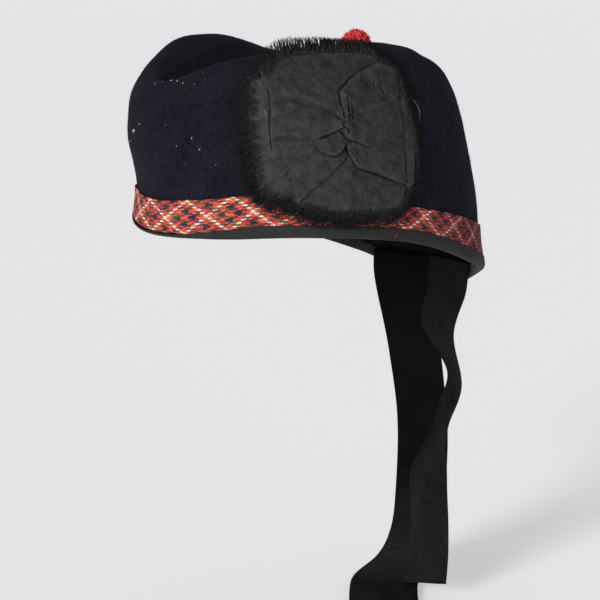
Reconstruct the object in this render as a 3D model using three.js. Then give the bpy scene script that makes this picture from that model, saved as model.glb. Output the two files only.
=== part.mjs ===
// A glengarry: creased felt crown, tartan band, bound rim, ribbon cockade, wool toorie and ribbon tails.
// Millimetres, +Z up. The wearer faces -Y, so +X is the wearer's left.
// The origin is the middle of the head opening, at the height of the rim.
import * as THREE from "three";

// Driving dimensions
const rim = { halfLength: 98, halfWidth: 78.5, frontTaper: 0.15 };
const wornTilt = 8; // degrees that the front of the rim is raised on the head
const feltThickness = 2;
const ribbonThickness = 1;
const seatGap = 0.3; // kept between pieces that are sewn together
const binding = { height: 4.6 };
const band = { low: binding.height + seatGap, high: 22 };
const crease = { frontReach: 81, backReach: 62, roll: 12.5, floorReach: 6, floorRise: 4 };
const cockade = { turn: 65.5, climb: 53, halfWidth: 42, halfHeight: 42.5, squareness: 3 };
const knot = { right: 4.5, up: 2.5, rise: 2.5, reach: 8, swirl: 35 };
const fringe = { root: 1.9, reach: 5.5, forward: 1.3, spread: 0.8, lean: 0.08, tipThickness: 0.5 };
const toorie = { radius: 9.5, x: 2, y: 20, tuft: 0.16, sink: 0.9 };
const tail = { width: 38, slant: 6 };
const shoulder = 14.5; // how far out the wall starts to turn over into its ridge
const waistSpread = 13.5; // half the height over which the wall is drawn in above the band

// Facets
const aroundSteps = 60;
const wallSteps = 10; // above the band
const creaseSteps = 6;
const climbSteps = 60;
const tailSteps = 30;
const cockadeColumns = 40;
const cockadeRings = 6;
const fringeLocks = 72;
const toorieDetail = 4;

// The crown's sections, from the front (turn 0) to the back (turn 180), the same turns on both sides.
const crownSections = [
  { turn: 0, creaseUp: 77, left: { rimLift: 1, waist: 5, bulge: 16.5, ridgeIn: 4, ridgeUp: 80 },
    right: { rimLift: 1, waist: 5, bulge: 16.5, ridgeIn: 4, ridgeUp: 80 } },
  { turn: 30, creaseUp: 75, left: { rimLift: 3, waist: 4, bulge: 12.5, ridgeIn: 12.5, ridgeUp: 88.5 },
    right: { rimLift: 5, waist: 9.5, bulge: 21, ridgeIn: 9.5, ridgeUp: 90.5 } },
  { turn: 60, creaseUp: 78, left: { rimLift: 8.5, waist: 1, bulge: 7.5, ridgeIn: 29, ridgeUp: 99 },
    right: { rimLift: 8.5, waist: 4, bulge: 12.5, ridgeIn: 29, ridgeUp: 103 } },
  { turn: 90, creaseUp: 87.5, left: { rimLift: 10.5, waist: 1, bulge: 3, ridgeIn: 41.5, ridgeUp: 105 },
    right: { rimLift: 9.5, waist: 1, bulge: 6, ridgeIn: 41.5, ridgeUp: 98 } },
  { turn: 120, creaseUp: 89.5, left: { rimLift: 4, waist: 1, bulge: -5, ridgeIn: 44.5, ridgeUp: 106 },
    right: { rimLift: 5, waist: 1, bulge: -2, ridgeIn: 41.5, ridgeUp: 99 } },
  { turn: 150, creaseUp: 83, left: { rimLift: 1, waist: 1, bulge: -7.5, ridgeIn: 36.5, ridgeUp: 93.5 },
    right: { rimLift: 1, waist: 1, bulge: -6, ridgeIn: 34.5, ridgeUp: 91.5 } },
  { turn: 180, creaseUp: 80, left: { rimLift: -14.5, waist: 1, bulge: -6, ridgeIn: 28, ridgeUp: 84 },
    right: { rimLift: -14.5, waist: 1, bulge: -6, ridgeIn: 28, ridgeUp: 84 } },
];

// The tails, from the rim down: the ribbon's middle and the turn of its width from the wearer's left.
const tailLeft = [
  { x: 18.7, y: 86, z: -14.5, turn: -10 },
  { x: 17.8, y: 85.9, z: -31, turn: -11 },
  { x: 13.5, y: 84, z: -54, turn: -16 },
  { x: 29, y: 83, z: -79, turn: -32 },
  { x: 15.5, y: 85.5, z: -105, turn: -30 },
  { x: 0, y: 88.5, z: -137.5, turn: -8 },
  { x: -2, y: 90.5, z: -170.5, turn: 2 },
  { x: -1, y: 90, z: -188, turn: 6 },
  { x: 2, y: 83, z: -198, turn: 16 },
  { x: 7.5, y: 74, z: -200, turn: 24 },
];
const tailRight = [
  { x: -18.5, y: 86.3, z: -15.5, turn: 13 },
  { x: -18.5, y: 87.3, z: -33.5, turn: 12 },
  { x: -14.5, y: 93.5, z: -73, turn: 7 },
  { x: -12.5, y: 98, z: -114.5, turn: 4 },
  { x: -14.5, y: 99, z: -156, turn: 4 },
  { x: -17.5, y: 98, z: -187, turn: 8 },
  { x: -20, y: 85.5, z: -202, turn: 28 },
  { x: -4, y: 64.5, z: -203, turn: 46 },
  { x: 25, y: 39.5, z: -203, turn: 50 },
];

// The cockade's flaps, anticlockwise from outside: where each starts and ends and how proud it lies.
const cockadeFlaps = [
  { name: "top", from: 58, to: 165, startRise: 0.3, endRise: 1.2, dome: 0.4 },
  { name: "left", from: 165, to: 242, startRise: 1.2, endRise: 2, dome: 0.4 },
  { name: "bottom", from: 242, to: 316, startRise: 0.2, endRise: 0.2, dome: 0.9 },
  { name: "right", from: 316, to: 418, startRise: 2.4, endRise: 2.2, dome: 0 },
];

// Once round the crown: down the left side to the back, then up the right side to the front.
const sectionRing = [
  ...crownSections.map((row) => ({ ...row, ...row.left })),
  ...crownSections.slice(1, -1).reverse().map((row) => ({ ...row, ...row.right })),
];

const radians = THREE.MathUtils.degToRad;

// A column of the sections at any angle, by a smooth curve through the rows.
function sectionValue(column, angle) {
  const count = sectionRing.length;
  const place = THREE.MathUtils.euclideanModulo((angle / (2 * Math.PI)) * count, count);
  const row = Math.floor(place);
  const share = place - row;
  const value = (k) => sectionRing[(row + k + count) % count][column];
  const [before, here, next, after] = [value(-1), value(0), value(1), value(2)];
  const slopeHere = (next - before) / 2;
  const slopeNext = (after - here) / 2;
  const rise = next - here;
  return here + share * (slopeHere + share * (3 * rise - 2 * slopeHere - slopeNext
    + share * (slopeHere + slopeNext - 2 * rise)));
}

function bezier(share, a, b, c, d) {
  const rest = 1 - share;
  return rest ** 3 * a + 3 * rest ** 2 * share * b + 3 * rest * share ** 2 * c + share ** 3 * d;
}

function rimPoint(angle) {
  const width = rim.halfWidth * (1 - rim.frontTaper * Math.cos(angle));
  return new THREE.Vector2(width * Math.sin(angle), -rim.halfLength * Math.cos(angle));
}

function creasePoint(angle) {
  const reach = Math.cos(angle) > 0 ? crease.frontReach : crease.backReach;
  return new THREE.Vector2(0, -reach * Math.cos(angle));
}

// The outer face of the felt. Along goes from 0 at the rim to 1 at the ridge and 2 at the crease's floor.
function crownPoint(angle, along) {
  const section = (column) => sectionValue(column, angle);
  const [rimLift, ridgeIn, ridgeUp] = ["rimLift", "ridgeIn", "ridgeUp"].map(section);
  const [waist, bulge, creaseUp] = ["waist", "bulge", "creaseUp"].map(section);
  const start = rimPoint(angle);
  const inward = creasePoint(angle).sub(start);
  const span = inward.length();
  inward.normalize();
  let into;
  let up;
  if (along <= 1) {
    into = bezier(along, 0, -bulge, ridgeIn - shoulder, ridgeIn);
    up = bezier(along, rimLift, (rimLift + ridgeUp) / 2, ridgeUp, ridgeUp);
    into += waist * Math.exp(-(((up - rimLift - band.high) / waistSpread) ** 2));
  } else {
    into = bezier(along - 1, ridgeIn, ridgeIn + crease.roll, span - crease.floorReach, span);
    up = bezier(along - 1, ridgeUp, ridgeUp, creaseUp + crease.floorRise, creaseUp);
  }
  return new THREE.Vector3(start.x + inward.x * into, start.y + inward.y * into, up);
}

function crownNormal(angle, along) {
  const step = 1e-3;
  const low = Math.max(0, along - step);
  const high = Math.min(2, along + step);
  const acrossSide = (turn) => {
    const around = crownPoint(turn + step, along - (along === 2 ? step : 0))
      .sub(crownPoint(turn - step, along - (along === 2 ? step : 0)));
    const upward = crownPoint(turn, high).sub(crownPoint(turn, low));
    return around.cross(upward).normalize();
  };
  const normal = acrossSide(angle);
  if (along === 2) normal.add(acrossSide(-angle));
  return normal.normalize();
}

// How far along its section a climb up the felt ends.
function alongAt(angle, climb) {
  let before = crownPoint(angle, 0);
  let left = climb;
  for (let step = 1; step <= climbSteps; step += 1) {
    const next = crownPoint(angle, step / climbSteps);
    const length = next.distanceTo(before);
    if (length >= left) return (step - 1 + left / length) / climbSteps;
    left -= length;
    before = next;
  }
  return 1;
}

// A point a climb up the felt from the rim, lifted off its face. A climb below zero hangs under the rim.
function wallPoint(angle, climb, lift) {
  const along = climb > 0 ? alongAt(angle, climb) : 0;
  const point = crownPoint(angle, along).addScaledVector(crownNormal(angle, along), lift);
  point.z += Math.min(climb, 0);
  return point;
}

// The crown's corners lie on the edges of the strips sewn to it, then go evenly to the ridge and crease.
function crownRows(angle) {
  const strips = [0, binding.height / 2, binding.height, (band.low + band.high) / 2, band.high];
  const low = strips.map((climb) => alongAt(angle, climb));
  const top = low.at(-1);
  const wall = Array.from({ length: wallSteps }, (none, k) => top + ((1 - top) * (k + 1)) / wallSteps);
  const fold = Array.from({ length: creaseSteps }, (none, k) => 1 + (k + 1) / creaseSteps);
  return [...low, ...wall, ...fold];
}

function crownGeometry() {
  const points = [];
  const vertex = new Map();
  const index = [];
  const angleAt = (turn) => (2 * Math.PI * turn) / aroundSteps;
  const alongs = Array.from({ length: aroundSteps }, (none, turn) => crownRows(angleAt(turn)));
  const rows = alongs[0].length - 1;
  const pointAt = (layer, row, step) => {
    const turn = step % aroundSteps;
    const key = [layer, row, row === rows ? Math.min(turn, aroundSteps - turn) : turn].join();
    if (!vertex.has(key)) {
      const point = crownPoint(angleAt(turn), alongs[turn][row]);
      const normal = crownNormal(angleAt(turn), alongs[turn][row]);
      if (layer === 1) point.addScaledVector(normal, -feltThickness);
      vertex.set(key, points.length);
      points.push(point);
    }
    return vertex.get(key);
  };
  const quad = (a, b, c, d) => index.push(a, b, c, a, c, d);
  const corners = (layer, row, step) => [
    ...[step, step + 1].map((side) => pointAt(layer, row, side)),
    ...[step + 1, step].map((side) => pointAt(layer, row + 1, side)),
  ];
  for (let step = 0; step < aroundSteps; step += 1) {
    for (let row = 0; row < rows; row += 1) {
      quad(...corners(0, row, step));
      quad(...corners(1, row, step).toReversed());
    }
    quad(pointAt(0, 0, step), pointAt(1, 0, step), pointAt(1, 0, step + 1), pointAt(0, 0, step + 1));
  }
  return new THREE.BufferGeometry().setFromPoints(points).setIndex(index);
}

// A closed strip that follows the rim: every row of its profile is a climb and a lift.
function ringGeometry(profile) {
  const points = [];
  const index = [];
  for (let step = 0; step < aroundSteps; step += 1) {
    const angle = (2 * Math.PI * step) / aroundSteps;
    profile.forEach(({ climb, lift }) => points.push(wallPoint(angle, climb, lift)));
  }
  for (let step = 0; step < aroundSteps; step += 1) {
    const near = step * profile.length;
    const far = ((step + 1) % aroundSteps) * profile.length;
    profile.forEach((row, k) => {
      const next = (k + 1) % profile.length;
      index.push(near + k, far + k, far + next, near + k, far + next, near + next);
    });
  }
  return new THREE.BufferGeometry().setFromPoints(points).setIndex(index);
}

function bandGeometry() {
  const inside = seatGap;
  const outside = seatGap + ribbonThickness;
  const climbs = [band.low, (band.low + band.high) / 2, band.high];
  return ringGeometry([
    ...climbs.map((climb) => ({ climb, lift: outside })),
    ...climbs.toReversed().map((climb) => ({ climb, lift: inside })),
  ]);
}

// The binding's profile goes from the top of its outer leg under the rim and up inside, and returns.
function bindingGeometry() {
  const outside = seatGap + ribbonThickness;
  const inside = -feltThickness - outside;
  const corner = ribbonThickness / 2;
  return ringGeometry([
    { climb: binding.height, lift: outside },
    { climb: binding.height, lift: seatGap },
    { climb: binding.height / 2, lift: seatGap },
    { climb: 0, lift: seatGap },
    { climb: -seatGap, lift: 0 },
    { climb: -seatGap, lift: -feltThickness },
    { climb: 0, lift: -feltThickness - seatGap },
    { climb: binding.height / 2, lift: -feltThickness - seatGap },
    { climb: binding.height, lift: -feltThickness - seatGap },
    { climb: binding.height, lift: inside },
    { climb: binding.height / 2, lift: inside },
    { climb: 0, lift: inside },
    { climb: -outside, lift: inside + corner },
    { climb: -outside, lift: outside - corner },
    { climb: 0, lift: outside },
    { climb: binding.height / 2, lift: outside },
  ]);
}

// A point of the cockade on the left wall: a reach from its knot, at a bearing from the wearer's back.
function cockadePoint(bearing, reach, lift) {
  const right = knot.right + reach * Math.cos(bearing);
  const climb = cockade.climb + knot.up + reach * Math.sin(bearing);
  const middle = radians(cockade.turn);
  const step = 0.01;
  const aside = (turn) => wallPoint(middle + turn, climb, 0);
  const girth = aside(step).distanceTo(aside(-step)) / (2 * step);
  const overBand = 1 - THREE.MathUtils.smoothstep(climb, band.high + 1, band.high + 10);
  const seat = 1.5 * seatGap + overBand * (seatGap + ribbonThickness);
  return wallPoint(middle + right / girth, climb, seat + lift);
}

// How far the edge lies from the knot, by halving the distance between inside and outside.
function cockadeOutline(bearing) {
  const outside = (reach) =>
    Math.abs((knot.right + reach * Math.cos(bearing)) / cockade.halfWidth) ** cockade.squareness
    + Math.abs((knot.up + reach * Math.sin(bearing)) / cockade.halfHeight) ** cockade.squareness > 1;
  let reach = 0;
  for (let step = cockade.halfWidth; step > 1e-4; step /= 2) {
    if (!outside(reach + step)) reach += step;
  }
  return reach;
}

// How thick the gathered ribbon lies: each flap rises to its edges and the folds swirl in to a knot.
function cockadeThickness(bearing, share) {
  const degrees = THREE.MathUtils.radToDeg(bearing) - knot.swirl * (1 - share) ** 2;
  const turnFrom = (from) => THREE.MathUtils.euclideanModulo(degrees - from, 360);
  const flap = cockadeFlaps.find(({ from, to }) => turnFrom(from) < to - from);
  const place = turnFrom(flap.from) / (flap.to - flap.from);
  const slope = THREE.MathUtils.lerp(flap.startRise, flap.endRise, place);
  const rise = slope + flap.dome * Math.sin(Math.PI * place);
  const fade = Math.min(1, 1.6 * (1 - share) + 0.25) * Math.min(1, share * 4);
  const gather = knot.rise * Math.exp(-(((share * cockadeOutline(bearing)) / knot.reach) ** 2));
  return ribbonThickness + rise * fade + gather;
}

function cockadeGeometry() {
  const edges = cockadeFlaps.flatMap(({ from }) => [from - 1.5, from + 1.5]);
  const even = Array.from({ length: cockadeColumns }, (none, k) => (360 * k) / cockadeColumns);
  const turnBetween = (a, b) => Math.abs(((a - b + 540) % 360) - 180);
  const apart = even.filter((bearing) => edges.every((edge) => turnBetween(bearing, edge) > 2));
  const bearings = [...apart, ...edges].sort((a, b) => a - b).map(radians);
  const points = [cockadePoint(0, 0, 0), cockadePoint(0, 0, cockadeThickness(0, 0))];
  const index = [];
  for (let ring = 1; ring <= cockadeRings; ring += 1) {
    const share = ring / cockadeRings;
    for (const bearing of bearings) {
      const reach = share * cockadeOutline(bearing);
      const thickness = cockadeThickness(bearing, share);
      points.push(cockadePoint(bearing, reach, 0), cockadePoint(bearing, reach, thickness));
    }
  }
  const at = (ring, column, front) =>
    ring === 0 ? front : 2 + 2 * ((ring - 1) * bearings.length + (column % bearings.length)) + front;
  const triangle = (front, a, b, c) => index.push(...(front ? [a, b, c] : [a, c, b]));
  for (let column = 0; column < bearings.length; column += 1) {
    for (const front of [0, 1]) {
      triangle(front, at(0, 0, front), at(1, column, front), at(1, column + 1, front));
      for (let ring = 1; ring < cockadeRings; ring += 1) {
        const near = at(ring, column, front);
        const far = at(ring + 1, column + 1, front);
        triangle(front, near, at(ring + 1, column, front), far);
        triangle(front, near, far, at(ring, column + 1, front));
      }
    }
    const edge = [at(cockadeRings, column, 0), at(cockadeRings, column + 1, 0)];
    const face = [at(cockadeRings, column, 1), at(cockadeRings, column + 1, 1)];
    index.push(edge[0], edge[1], face[1], edge[0], face[1], face[0]);
  }
  return new THREE.BufferGeometry().setFromPoints(points).setIndex(index);
}

// Frayed locks round the cockade, fused to a strip that follows its outline.
function fringeGeometry() {
  const points = [];
  const index = [];
  const count = 2 * fringeLocks;
  for (let step = 0; step < count; step += 1) {
    const bearing = (2 * Math.PI * step) / count;
    const start = cockadeOutline(bearing) + seatGap;
    const drawn = step % 2 === 0;
    const uneven = fringe.spread * Math.sin(2.4 * step);
    const reach = fringe.reach - fringe.forward * Math.cos(bearing) + uneven;
    const length = drawn ? reach : fringe.root;
    const thickness = drawn ? fringe.tipThickness : ribbonThickness;
    const edge = (lift) => cockadePoint(bearing, start, lift);
    const outward = cockadePoint(bearing, start + 1, 0).sub(edge(0)).normalize();
    const raise = edge(1).sub(edge(0)).normalize();
    const lock = outward.addScaledVector(raise, fringe.lean).multiplyScalar(length);
    const tip = (lift) => edge(lift).add(lock);
    points.push(edge(0), tip(0), tip(thickness), edge(ribbonThickness));
  }
  for (let step = 0; step < count; step += 1) {
    const near = 4 * step;
    const far = 4 * ((step + 1) % count);
    for (let k = 0; k < 4; k += 1) {
      const next = (k + 1) % 4;
      index.push(near + k, far + k, far + next, near + k, far + next, near + next);
    }
  }
  return new THREE.BufferGeometry().setFromPoints(points).setIndex(index);
}

// The lowest height at which a ball over a place in the crease is clear of the felt.
function seatHeight({ x, y, radius }) {
  let height = 0;
  for (let turn = 0; turn < 360; turn += 2) {
    for (let along = 0.8; along <= 2; along += 0.05) {
      const point = crownPoint(radians(turn), along);
      const offset = (point.x - x) ** 2 + (point.y - y) ** 2;
      if (offset < radius ** 2) height = Math.max(height, point.z + Math.sqrt(radius ** 2 - offset));
    }
  }
  return height;
}

// Wool locks fused to a round head: every other corner of the ball is drawn out into a lock.
function toorieGeometry() {
  const ball = new THREE.IcosahedronGeometry(1, toorieDetail);
  const place = ball.attributes.position;
  const point = new THREE.Vector3();
  for (let k = 0; k < place.count; k += 1) {
    point.fromBufferAttribute(place, k);
    const lock = Math.sin(7.3 * point.x + 1) * Math.sin(6.7 * point.y + 2) * Math.sin(7.9 * point.z + 3);
    point.multiplyScalar(toorie.radius * (1 - toorie.tuft / 2 + toorie.tuft * lock));
    place.setXYZ(k, point.x, point.y, point.z);
  }
  const height = seatHeight({ ...toorie, radius: toorie.radius + seatGap });
  return ball.translate(toorie.x, toorie.y, height - toorie.sink);
}

// A ribbon through the rows of a table: the middle of the ribbon and the way that its width points.
function tailGeometry(rows, slant) {
  const path = new THREE.CatmullRomCurve3(rows.map(({ x, y, z }) => new THREE.Vector3(x, y, z)));
  const facing = new THREE.CatmullRomCurve3(rows.map(({ turn }) => new THREE.Vector3(turn, 0, 0)));
  const points = [];
  const index = [];
  for (let step = 0; step <= tailSteps; step += 1) {
    const along = path.getUtoTmapping(step / tailSteps);
    const turn = radians(facing.getPoint(along).x);
    const across = new THREE.Vector3(Math.cos(turn), Math.sin(turn), 0);
    const tangent = path.getTangent(along);
    const face = tangent.clone().cross(across).normalize();
    for (const [side, front] of [[-1, -1], [1, -1], [1, 1], [-1, 1]]) {
      points.push(path.getPoint(along)
        .addScaledVector(across, (side * tail.width) / 2)
        .addScaledVector(face, (front * ribbonThickness) / 2)
        .addScaledVector(tangent, step === tailSteps ? side * slant : 0));
    }
  }
  const quad = (a, b, c, d) => index.push(a, b, c, a, c, d);
  for (let step = 0; step < tailSteps; step += 1) {
    for (let k = 0; k < 4; k += 1) {
      const next = (k + 1) % 4;
      quad(4 * step + k, 4 * step + next, 4 * step + 4 + next, 4 * step + 4 + k);
    }
  }
  quad(3, 2, 1, 0);
  quad(4 * tailSteps, 4 * tailSteps + 1, 4 * tailSteps + 2, 4 * tailSteps + 3);
  return new THREE.BufferGeometry().setFromPoints(points).setIndex(index);
}

const felt = new THREE.MeshStandardMaterial({ color: 0x15151f, roughness: 0.95, metalness: 0 });
const tartan = new THREE.MeshStandardMaterial({ color: 0xb03a30, roughness: 0.85, metalness: 0 });
const ribbon = new THREE.MeshStandardMaterial({ color: 0x2a2b2b, roughness: 0.7, metalness: 0 });
const taffeta = new THREE.MeshStandardMaterial({ color: 0x303030, roughness: 0.75, metalness: 0 });
const frayed = new THREE.MeshStandardMaterial({ color: 0x0e0e10, roughness: 0.9, metalness: 0 });
const wool = new THREE.MeshStandardMaterial({ color: 0xb81820, roughness: 0.9, metalness: 0 });
const tailRibbon = new THREE.MeshStandardMaterial({ color: 0x141416, roughness: 0.6, metalness: 0 });

function piece(name, geometry, material) {
  const mesh = new THREE.Mesh(geometry, material);
  mesh.name = name;
  return mesh;
}

const hat = new THREE.Group();
hat.rotation.x = -radians(wornTilt);
hat.add(piece("crown", crownGeometry(), felt));
hat.add(piece("tartan_band", bandGeometry(), tartan));
hat.add(piece("rim_binding", bindingGeometry(), ribbon));
hat.add(piece("cockade", cockadeGeometry(), taffeta));
hat.add(piece("cockade_fringe", fringeGeometry(), frayed));
hat.add(piece("toorie", toorieGeometry(), wool));

const glengarry = new THREE.Group();
glengarry.add(hat);
glengarry.add(piece("tail_left", tailGeometry(tailLeft, -tail.slant), tailRibbon));
glengarry.add(piece("tail_right", tailGeometry(tailRight, tail.slant), tailRibbon));

export default glengarry;
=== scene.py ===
# A glengarry in navy felt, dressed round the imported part
import math
import random

import bmesh
import bpy
import numpy as np
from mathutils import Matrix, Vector, noise
from mathutils.bvhtree import BVHTree


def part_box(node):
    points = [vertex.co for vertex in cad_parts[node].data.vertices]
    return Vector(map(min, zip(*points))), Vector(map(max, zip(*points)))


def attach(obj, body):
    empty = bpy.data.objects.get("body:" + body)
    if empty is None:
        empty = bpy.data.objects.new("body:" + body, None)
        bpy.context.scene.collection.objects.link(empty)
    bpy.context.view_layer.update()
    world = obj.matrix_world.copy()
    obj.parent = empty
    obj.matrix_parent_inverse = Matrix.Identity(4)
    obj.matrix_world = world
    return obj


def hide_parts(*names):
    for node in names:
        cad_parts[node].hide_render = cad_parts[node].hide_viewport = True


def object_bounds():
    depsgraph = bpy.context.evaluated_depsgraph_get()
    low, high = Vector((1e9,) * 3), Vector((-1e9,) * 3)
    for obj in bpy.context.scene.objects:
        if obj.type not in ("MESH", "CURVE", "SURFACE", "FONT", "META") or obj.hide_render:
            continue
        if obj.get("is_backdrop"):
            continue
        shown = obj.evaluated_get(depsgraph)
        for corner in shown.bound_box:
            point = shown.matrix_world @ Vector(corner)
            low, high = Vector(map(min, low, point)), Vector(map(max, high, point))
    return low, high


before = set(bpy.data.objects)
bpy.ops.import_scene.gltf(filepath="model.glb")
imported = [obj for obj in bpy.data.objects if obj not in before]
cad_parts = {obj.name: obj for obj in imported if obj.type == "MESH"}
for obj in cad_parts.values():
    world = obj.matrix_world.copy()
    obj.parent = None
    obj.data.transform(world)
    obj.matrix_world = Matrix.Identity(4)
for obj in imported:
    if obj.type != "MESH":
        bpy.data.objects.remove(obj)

mm = 0.001
fullTurn = 2 * math.pi
cadLow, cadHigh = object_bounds()
random.seed(11)

# camera and studio

shot = {
    "place": (0.8656, -0.7291, 0.1695),
    "aim": (0.0026, -0.0049, -0.0292),
    "lens": 132,
    "sensor": 36,
}
bpy.ops.object.camera_add(location=shot["place"])
camera = bpy.context.object
ahead = Vector(shot["aim"]) - Vector(shot["place"])
camera.rotation_euler = ahead.to_track_quat("-Z", "Y").to_euler()
camera.data.lens = shot["lens"]
camera.data.sensor_width = shot["sensor"]
bpy.context.scene.camera = camera
bpy.context.scene.view_settings.view_transform = "Standard"

studio = {
    "floorSize": 14,
    "floorDrop": 0.5 * mm,
    "floorTone": (0.78, 0.78, 0.79),
    "floorGlow": 0.54,
    "sky": (0.80, 0.81, 0.84),
    "skyStrength": 0.22,
    # way to the light, strength, softness in degrees
    "lights": [
        ((0.26, -0.90, 0.28), 2.8, 20),
        ((0.90, -0.10, 0.25), 0.35, 40),
        ((-0.30, 0.50, 0.80), 0.06, 50),
    ],
}


def addNode(tree, kind, inputs=None, **settings):
    made = tree.nodes.new("ShaderNode" + kind)
    for name, value in settings.items():
        setattr(made, name, value)
    for name, value in (inputs or {}).items():
        if isinstance(value, bpy.types.NodeSocket):
            tree.links.new(value, made.inputs[name])
        else:
            made.inputs[name].default_value = value
    return made


def maths(tree, operation, *values):
    return addNode(tree, "Math", dict(enumerate(values)), operation=operation).outputs[0]


# a sum of sockets, each times its weight
def weighted(tree, *pairs):
    total, *terms = [maths(tree, "MULTIPLY", socket, weight) for socket, weight in pairs]
    for term in terms:
        total = maths(tree, "ADD", total, term)
    return total


# a base value and some of a socket
def lifted(tree, base, socket, gain):
    return maths(tree, "ADD", base, maths(tree, "MULTIPLY", socket, gain))


# round humps, as threads have that lie side by side
def humps(tree, socket, rate):
    return maths(tree, "ABSOLUTE", maths(tree, "SINE", maths(tree, "MULTIPLY", socket, rate)))


# goes from one value to another while a socket goes from low to high
def ranged(tree, socket, low, high, first, last, **settings):
    inputs = {"Value": socket, "From Min": low, "From Max": high, "To Min": first, "To Max": last}
    return addNode(tree, "MapRange", inputs, **settings).outputs[0]


def noiseOf(tree, vector, scale, detail, **sockets):
    inputs = {"Vector": vector, "Scale": scale, "Detail": detail, **sockets}
    return addNode(tree, "TexNoise", inputs).outputs[0]


def stretched(tree, vector, scale):
    return addNode(tree, "Mapping", {"Vector": vector, "Scale": scale}).outputs[0]


def objectPlace(tree):
    return addNode(tree, "TexCoord").outputs["Object"]


# the pattern's place, and that place along and across the ribbon
def patternPlace(tree):
    place = addNode(tree, "TexCoord").outputs["UV"]
    apart = addNode(tree, "SeparateXYZ", {"Vector": place})
    return place, apart.outputs[0], apart.outputs[1]


def colourRamp(tree, share, stops, steps=False):
    made = tree.nodes.new("ShaderNodeValToRGB")
    made.color_ramp.interpolation = "CONSTANT" if steps else "LINEAR"
    while len(made.color_ramp.elements) < len(stops):
        made.color_ramp.elements.new(1)
    for element, (place, colour) in zip(made.color_ramp.elements, stops):
        element.position = place
        element.color = (*colour, 1)
    tree.links.new(share, made.inputs[0])
    return made.outputs[0]


def mixColours(tree, share, first, second):
    return addNode(tree, "Mix", {"Factor": share, 6: first, 7: second}, data_type="RGBA").outputs[2]


def startFinish(name, roughness, **sockets):
    finish = bpy.data.materials.new(name)
    finish.use_nodes = True
    shader = finish.node_tree.nodes["Principled BSDF"]
    shader.inputs["Roughness"].default_value = roughness
    for socket, value in sockets.items():
        shader.inputs[socket.replace("_", " ")].default_value = value
    return finish, finish.node_tree, shader


def paint(tree, shader, colour):
    tree.links.new(colour, shader.inputs["Base Color"])


def addBump(tree, shader, height, strength, distance):
    bump = addNode(tree, "Bump", {"Height": height, "Strength": strength, "Distance": distance})
    tree.links.new(bump.outputs[0], shader.inputs["Normal"])


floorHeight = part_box("tail_right")[0].z - studio["floorDrop"]
bpy.ops.mesh.primitive_circle_add(vertices=96, radius=studio["floorSize"], fill_type="NGON",
                                  location=(0, 0, floorHeight))
floor = bpy.context.object
floor.name = "floor"
floorFinish, tree, shader = startFinish("paleFloor", 0.7)
grain = addNode(tree, "TexNoise", {"Scale": 3.0, "Detail": 3.0}).outputs[0]
tone = studio["floorTone"]
paint(tree, shader, colourRamp(tree, grain, [(0.3, [0.985 * part for part in tone]), (0.7, tone)]))
shader.inputs["Emission Color"].default_value = (*tone, 1)
shader.inputs["Emission Strength"].default_value = studio["floorGlow"]
floor.data.materials.append(floorFinish)
floor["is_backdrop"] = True

world = bpy.data.worlds.new("paleStudio")
world.use_nodes = True
background = world.node_tree.nodes["Background"]
background.inputs[0].default_value = (*studio["sky"], 1)
background.inputs[1].default_value = studio["skyStrength"]
bpy.context.scene.world = world
for way, strength, softness in studio["lights"]:
    bpy.ops.object.light_add(type="SUN")
    light = bpy.context.object
    light.data.energy = strength
    light.data.angle = math.radians(softness)
    light.rotation_euler = Vector(way).to_track_quat("Z", "Y").to_euler()
print("studio is set")


# modelling helpers

def pick(piece):
    bpy.ops.object.select_all(action="DESELECT")
    piece.select_set(True)
    bpy.context.view_layer.objects.active = piece


def enterEdit(piece):
    pick(piece)
    bpy.ops.object.mode_set(mode="EDIT")
    bpy.ops.mesh.select_all(action="SELECT")


def leaveEdit():
    bpy.ops.object.mode_set(mode="OBJECT")


def modify(piece, kind, **settings):
    pick(piece)
    bpy.ops.object.modifier_add(type=kind)
    for name, value in settings.items():
        setattr(piece.modifiers[-1], name, value)
    bpy.ops.object.modifier_apply(modifier=piece.modifiers[-1].name)


def mergedCopy(node, name):
    piece = bpy.data.objects.new(name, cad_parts[node].data.copy())
    bpy.context.collection.objects.link(piece)
    pick(piece)
    if piece.data.has_custom_normals:
        bpy.ops.mesh.customdata_custom_splitnormals_clear()
    enterEdit(piece)
    bpy.ops.mesh.remove_doubles(threshold=0.01 * mm)
    bpy.ops.mesh.tris_convert_to_quads()
    leaveEdit()
    piece.data.materials.clear()
    return piece


# joins the two ends of a ring of ribbon and gives the cloth its thickness
def closeRibbon(piece, cloth):
    enterEdit(piece)
    bpy.ops.mesh.remove_doubles(threshold=0.03 * mm)
    leaveEdit()
    modify(piece, "SOLIDIFY", thickness=cloth, offset=-1)


def treeOf(piece):
    return BVHTree.FromObject(piece, bpy.context.evaluated_depsgraph_get())


def corners(piece):
    places = np.empty(3 * len(piece.data.vertices))
    piece.data.vertices.foreach_get("co", places)
    return places.reshape(-1, 3)


def setCorners(piece, places):
    piece.data.vertices.foreach_set("co", np.asarray(places, float).ravel())
    piece.data.update()


def addGrid(name, columns, rows):
    bpy.ops.object.select_all(action="DESELECT")
    bpy.ops.mesh.primitive_grid_add(x_subdivisions=columns, y_subdivisions=rows, size=2)
    piece = bpy.context.object
    piece.name = name
    return piece


# sets the pattern's place at each corner, in millimetres along and across
def setPattern(piece, along, across):
    pairs = np.stack(np.broadcast_arrays(along, across), axis=-1).reshape(-1, 2)
    index = np.empty(len(piece.data.loops), int)
    piece.data.loops.foreach_get("vertex_index", index)
    piece.data.uv_layers[0].data.foreach_set("uv", pairs[index].ravel())


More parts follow.
